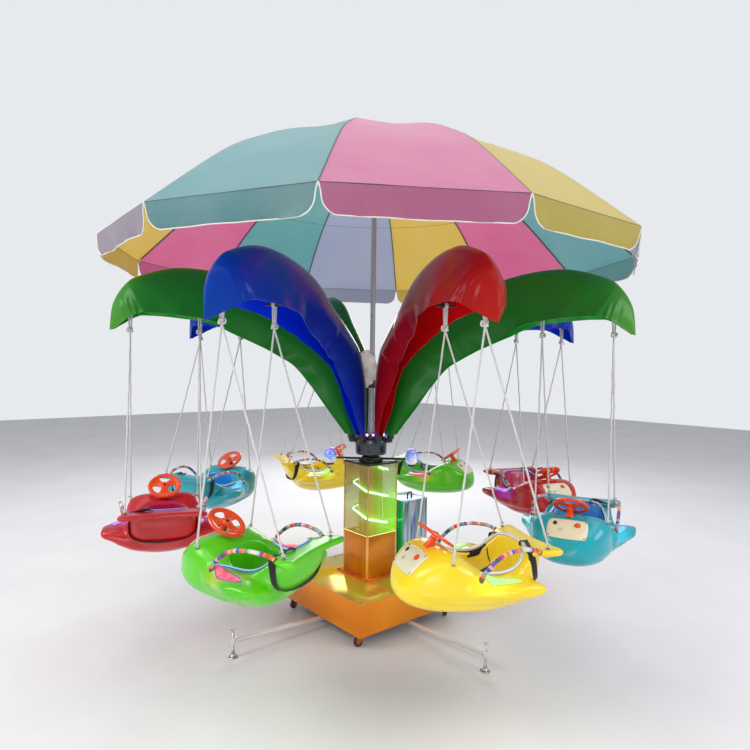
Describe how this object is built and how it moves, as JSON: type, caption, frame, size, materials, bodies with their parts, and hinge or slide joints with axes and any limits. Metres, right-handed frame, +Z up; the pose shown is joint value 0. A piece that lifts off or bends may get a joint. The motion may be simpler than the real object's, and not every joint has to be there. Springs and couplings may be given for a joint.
{
  "type": "chair swing ride",
  "caption": "Small indoor swing carousel: square base with a lit post, a turning crown of folded-leaf arms with rope-hung moulded chairs, and a gored umbrella on top.",
  "frame": {"origin": "centre of the footprint on the floor, on the turning axis", "axes": "+Z up along the turning axis; +X and +Y square to the base cabinet's side faces, along the outrigger tubes"},
  "size_m": [2.9288, 2.9288, 2.85],
  "materials": {
    "cabinet_gold": "amber iridescent mirror sheet over a steel box",
    "column_amber": "opaque amber acrylic, glossy",
    "window_amber": "clear amber acrylic sheet",
    "core_light": "light core with lit strips",
    "plate_dark": "dark grey painted steel",
    "lamp_glass": "iridescent clear globes",
    "box_mirror": "holographic silver mirror sheet",
    "steel_tube": "bright stainless tube",
    "caster_rubber": "dark red tread in an orange fork",
    "spider_steel": "dark grey painted steel",
    "leaf_green": "green glossy fibreglass",
    "leaf_blue": "blue glossy fibreglass",
    "leaf_red": "red glossy fibreglass",
    "pole_grey": "light grey painted steel",
    "canopy_fabric": "woven polyester, four colours in turn",
    "shell_green": "rotomoulded polyethylene, green",
    "shell_yellow": "rotomoulded polyethylene, yellow",
    "shell_teal": "rotomoulded polyethylene, teal",
    "shell_red": "rotomoulded polyethylene, red",
    "rope_white": "white braided rope",
    "wheel_orange": "orange moulded plastic"
  },
  "bodies": {
    "base": {"base_cabinet": "cabinet_gold", "outrigger_frame": "steel_tube", "column_lower": "column_amber", "column_window": "window_amber", "light_core": "core_light", "top_plate": "plate_dark", "lamp_bar": "lamp_glass", "control_box": "box_mirror"},
    "foot_right": {"levelling_foot_right": "steel_tube"},
    "foot_back": {"levelling_foot_back": "steel_tube"},
    "foot_left": {"levelling_foot_left": "steel_tube"},
    "foot_front": {"levelling_foot_front": "steel_tube"},
    "caster_back_right": {"caster_back_right": "caster_rubber"},
    "caster_back_left": {"caster_back_left": "caster_rubber"},
    "caster_front_left": {"caster_front_left": "caster_rubber"},
    "caster_front_right": {"caster_front_right": "caster_rubber"},
    "rotor": {"rotor_spider": "spider_steel", "leaf_arm_1": "leaf_blue", "leaf_arm_2": "leaf_red", "leaf_arm_3": "leaf_green", "leaf_arm_4": "leaf_blue", "leaf_arm_5": "leaf_red", "leaf_arm_6": "leaf_green", "leaf_arm_7": "leaf_blue", "leaf_arm_8": "leaf_green", "umbrella_frame": "pole_grey", "umbrella_canopy": "canopy_fabric"},
    "rope_inner_1": {"rope_inner_1": "rope_white"},
    "rope_outer_1": {"rope_outer_1": "rope_white"},
    "chair_1": {"chair_1": "shell_green"},
    "steering_wheel_1": {"steering_wheel_1": "wheel_orange"},
    "rope_inner_2": {"rope_inner_2": "rope_white"},
    "rope_outer_2": {"rope_outer_2": "rope_white"},
    "chair_2": {"chair_2": "shell_yellow"},
    "steering_wheel_2": {"steering_wheel_2": "wheel_orange"},
    "rope_inner_3": {"rope_inner_3": "rope_white"},
    "rope_outer_3": {"rope_outer_3": "rope_white"},
    "chair_3": {"chair_3": "shell_teal"},
    "steering_wheel_3": {"steering_wheel_3": "wheel_orange"},
    "rope_inner_4": {"rope_inner_4": "rope_white"},
    "rope_outer_4": {"rope_outer_4": "rope_white"},
    "chair_4": {"chair_4": "shell_red"},
    "steering_wheel_4": {"steering_wheel_4": "wheel_orange"},
    "rope_inner_5": {"rope_inner_5": "rope_white"},
    "rope_outer_5": {"rope_outer_5": "rope_white"},
    "chair_5": {"chair_5": "shell_green"},
    "steering_wheel_5": {"steering_wheel_5": "wheel_orange"},
    "rope_inner_6": {"rope_inner_6": "rope_white"},
    "rope_outer_6": {"rope_outer_6": "rope_white"},
    "chair_6": {"chair_6": "shell_yellow"},
    "steering_wheel_6": {"steering_wheel_6": "wheel_orange"},
    "rope_inner_7": {"rope_inner_7": "rope_white"},
    "rope_outer_7": {"rope_outer_7": "rope_white"},
    "chair_7": {"chair_7": "shell_teal"},
    "steering_wheel_7": {"steering_wheel_7": "wheel_orange"},
    "rope_inner_8": {"rope_inner_8": "rope_white"},
    "rope_outer_8": {"rope_outer_8": "rope_white"},
    "chair_8": {"chair_8": "shell_red"},
    "steering_wheel_8": {"steering_wheel_8": "wheel_orange"}
  },
  "joints": [
    {"name": "rotor_spin", "type": "hinge", "parent": "base", "child": "rotor", "pos_m": [0, 0, 0.955], "axis": [0, 0, 1], "continuous": true},
    {"name": "foot_slide_right", "type": "slide", "parent": "base", "child": "foot_right", "axis": [0, 0, 1], "range_m": [0, 0.025]},
    {"name": "foot_slide_back", "type": "slide", "parent": "base", "child": "foot_back", "axis": [0, 0, 1], "range_m": [0, 0.025]},
    {"name": "foot_slide_left", "type": "slide", "parent": "base", "child": "foot_left", "axis": [0, 0, 1], "range_m": [0, 0.025]},
    {"name": "foot_slide_front", "type": "slide", "parent": "base", "child": "foot_front", "axis": [0, 0, 1], "range_m": [0, 0.025]},
    {"name": "caster_swivel_back_right", "type": "hinge", "parent": "base", "child": "caster_back_right", "pos_m": [0.318, 0.318, 0.066], "axis": [0, 0, 1], "continuous": true},
    {"name": "caster_swivel_back_left", "type": "hinge", "parent": "base", "child": "caster_back_left", "pos_m": [-0.318, 0.318, 0.066], "axis": [0, 0, 1], "continuous": true},
    {"name": "caster_swivel_front_left", "type": "hinge", "parent": "base", "child": "caster_front_left", "pos_m": [-0.318, -0.318, 0.066], "axis": [0, 0, 1], "continuous": true},
    {"name": "caster_swivel_front_right", "type": "hinge", "parent": "base", "child": "caster_front_right", "pos_m": [0.318, -0.318, 0.066], "axis": [0, 0, 1], "continuous": true},
    {"name": "swing_inner_1", "type": "hinge", "parent": "rotor", "child": "rope_inner_1", "pos_m": [0.39994, -0.91108, 1.755], "axis": [-0.9157, -0.4019, 0], "range_deg": [-5, 30]},
    {"name": "swing_outer_1", "type": "hinge", "parent": "rotor", "child": "rope_outer_1", "pos_m": [0.54062, -1.23157, 1.755], "axis": [-0.9157, -0.4019, 0], "range_deg": [-5, 30]},
    {"name": "chair_level_1", "type": "hinge", "parent": "rope_inner_1", "child": "chair_1", "pos_m": [0.39994, -0.91108, 0.76], "axis": [-0.9157, -0.4019, 0], "range_deg": [-30, 5]},
    {"name": "steering_1", "type": "hinge", "parent": "chair_1", "child": "steering_wheel_1", "pos_m": [0.36773, -1.11634, 0.803], "axis": [0.5252, 0.2305, 0.8192], "continuous": true},
    {"name": "swing_inner_2", "type": "hinge", "parent": "rotor", "child": "rope_inner_2", "pos_m": [0.92703, -0.36144, 1.755], "axis": [-0.3633, -0.9317, 0], "range_deg": [-5, 30]},
    {"name": "swing_outer_2", "type": "hinge", "parent": "rotor", "child": "rope_outer_2", "pos_m": [1.25313, -0.48857, 1.755], "axis": [-0.3633, -0.9317, 0], "range_deg": [-5, 30]},
    {"name": "chair_level_2", "type": "hinge", "parent": "rope_inner_2", "child": "chair_2", "pos_m": [0.92703, -0.36144, 0.76], "axis": [-0.3633, -0.9317, 0], "range_deg": [-30, 5]},
    {"name": "steering_2", "type": "hinge", "parent": "chair_2", "child": "steering_wheel_2", "pos_m": [1.0494, -0.52935, 0.803], "axis": [0.2084, 0.5344, 0.8192], "continuous": true},
    {"name": "swing_inner_3", "type": "hinge", "parent": "rotor", "child": "rope_inner_3", "pos_m": [0.91108, 0.39994, 1.755], "axis": [0.4019, -0.9157, 0], "range_deg": [-5, 30]},
    {"name": "swing_outer_3", "type": "hinge", "parent": "rotor", "child": "rope_outer_3", "pos_m": [1.23157, 0.54062, 1.755], "axis": [0.4019, -0.9157, 0], "range_deg": [-5, 30]},
    {"name": "chair_level_3", "type": "hinge", "parent": "rope_inner_3", "child": "chair_3", "pos_m": [0.91108, 0.39994, 0.76], "axis": [0.4019, -0.9157, 0], "range_deg": [-30, 5]},
    {"name": "steering_3", "type": "hinge", "parent": "chair_3", "child": "steering_wheel_3", "pos_m": [1.11634, 0.36773, 0.803], "axis": [-0.2305, 0.5252, 0.8192], "continuous": true},
    {"name": "swing_inner_4", "type": "hinge", "parent": "rotor", "child": "rope_inner_4", "pos_m": [0.36144, 0.92703, 1.755], "axis": [0.9317, -0.3633, 0], "range_deg": [-5, 30]},
    {"name": "swing_outer_4", "type": "hinge", "parent": "rotor", "child": "rope_outer_4", "pos_m": [0.48857, 1.25313, 1.755], "axis": [0.9317, -0.3633, 0], "range_deg": [-5, 30]},
    {"name": "chair_level_4", "type": "hinge", "parent": "rope_inner_4", "child": "chair_4", "pos_m": [0.36144, 0.92703, 0.76], "axis": [0.9317, -0.3633, 0], "range_deg": [-30, 5]},
    {"name": "steering_4", "type": "hinge", "parent": "chair_4", "child": "steering_wheel_4", "pos_m": [0.52935, 1.0494, 0.803], "axis": [-0.5344, 0.2084, 0.8192], "continuous": true},
    {"name": "swing_inner_5", "type": "hinge", "parent": "rotor", "child": "rope_inner_5", "pos_m": [-0.39994, 0.91108, 1.755], "axis": [0.9157, 0.4019, 0], "range_deg": [-5, 30]},
    {"name": "swing_outer_5", "type": "hinge", "parent": "rotor", "child": "rope_outer_5", "pos_m": [-0.54062, 1.23157, 1.755], "axis": [0.9157, 0.4019, 0], "range_deg": [-5, 30]},
    {"name": "chair_level_5", "type": "hinge", "parent": "rope_inner_5", "child": "chair_5", "pos_m": [-0.39994, 0.91108, 0.76], "axis": [0.9157, 0.4019, 0], "range_deg": [-30, 5]},
    {"name": "steering_5", "type": "hinge", "parent": "chair_5", "child": "steering_wheel_5", "pos_m": [-0.36773, 1.11634, 0.803], "axis": [-0.5252, -0.2305, 0.8192], "continuous": true},
    {"name": "swing_inner_6", "type": "hinge", "parent": "rotor", "child": "rope_inner_6", "pos_m": [-0.92703, 0.36144, 1.755], "axis": [0.3633, 0.9317, 0], "range_deg": [-5, 30]},
    {"name": "swing_outer_6", "type": "hinge", "parent": "rotor", "child": "rope_outer_6", "pos_m": [-1.25313, 0.48857, 1.755], "axis": [0.3633, 0.9317, 0], "range_deg": [-5, 30]},
    {"name": "chair_level_6", "type": "hinge", "parent": "rope_inner_6", "child": "chair_6", "pos_m": [-0.92703, 0.36144, 0.76], "axis": [0.3633, 0.9317, 0], "range_deg": [-30, 5]},
    {"name": "steering_6", "type": "hinge", "parent": "chair_6", "child": "steering_wheel_6", "pos_m": [-1.0494, 0.52935, 0.803], "axis": [-0.2084, -0.5344, 0.8192], "continuous": true},
    {"name": "swing_inner_7", "type": "hinge", "parent": "rotor", "child": "rope_inner_7", "pos_m": [-0.91108, -0.39994, 1.755], "axis": [-0.4019, 0.9157, 0], "range_deg": [-5, 30]},
    {"name": "swing_outer_7", "type": "hinge", "parent": "rotor", "child": "rope_outer_7", "pos_m": [-1.23157, -0.54062, 1.755], "axis": [-0.4019, 0.9157, 0], "range_deg": [-5, 30]},
    {"name": "chair_level_7", "type": "hinge", "parent": "rope_inner_7", "child": "chair_7", "pos_m": [-0.91108, -0.39994, 0.76], "axis": [-0.4019, 0.9157, 0], "range_deg": [-30, 5]},
    {"name": "steering_7", "type": "hinge", "parent": "chair_7", "child": "steering_wheel_7", "pos_m": [-1.11634, -0.36773, 0.803], "axis": [0.2305, -0.5252, 0.8192], "continuous": true},
    {"name": "swing_inner_8", "type": "hinge", "parent": "rotor", "child": "rope_inner_8", "pos_m": [-0.36144, -0.92703, 1.755], "axis": [-0.9317, 0.3633, 0], "range_deg": [-5, 30]},
    {"name": "swing_outer_8", "type": "hinge", "parent": "rotor", "child": "rope_outer_8", "pos_m": [-0.48857, -1.25313, 1.755], "axis": [-0.9317, 0.3633, 0], "range_deg": [-5, 30]},
    {"name": "chair_level_8", "type": "hinge", "parent": "rope_inner_8", "child": "chair_8", "pos_m": [-0.36144, -0.92703, 0.76], "axis": [-0.9317, 0.3633, 0], "range_deg": [-30, 5]},
    {"name": "steering_8", "type": "hinge", "parent": "chair_8", "child": "steering_wheel_8", "pos_m": [-0.52935, -1.0494, 0.803], "axis": [0.5344, -0.2084, 0.8192], "continuous": true}
  ],
  "couplings": [
    {"joint": "swing_outer_1", "follows": "swing_inner_1", "ratio": 1},
    {"joint": "chair_level_1", "follows": "swing_inner_1", "ratio": -1},
    {"joint": "swing_outer_2", "follows": "swing_inner_2", "ratio": 1},
    {"joint": "chair_level_2", "follows": "swing_inner_2", "ratio": -1},
    {"joint": "swing_outer_3", "follows": "swing_inner_3", "ratio": 1},
    {"joint": "chair_level_3", "follows": "swing_inner_3", "ratio": -1},
    {"joint": "swing_outer_4", "follows": "swing_inner_4", "ratio": 1},
    {"joint": "chair_level_4", "follows": "swing_inner_4", "ratio": -1},
    {"joint": "swing_outer_5", "follows": "swing_inner_5", "ratio": 1},
    {"joint": "chair_level_5", "follows": "swing_inner_5", "ratio": -1},
    {"joint": "swing_outer_6", "follows": "swing_inner_6", "ratio": 1},
    {"joint": "chair_level_6", "follows": "swing_inner_6", "ratio": -1},
    {"joint": "swing_outer_7", "follows": "swing_inner_7", "ratio": 1},
    {"joint": "chair_level_7", "follows": "swing_inner_7", "ratio": -1},
    {"joint": "swing_outer_8", "follows": "swing_inner_8", "ratio": 1},
    {"joint": "chair_level_8", "follows": "swing_inner_8", "ratio": -1}
  ]
}
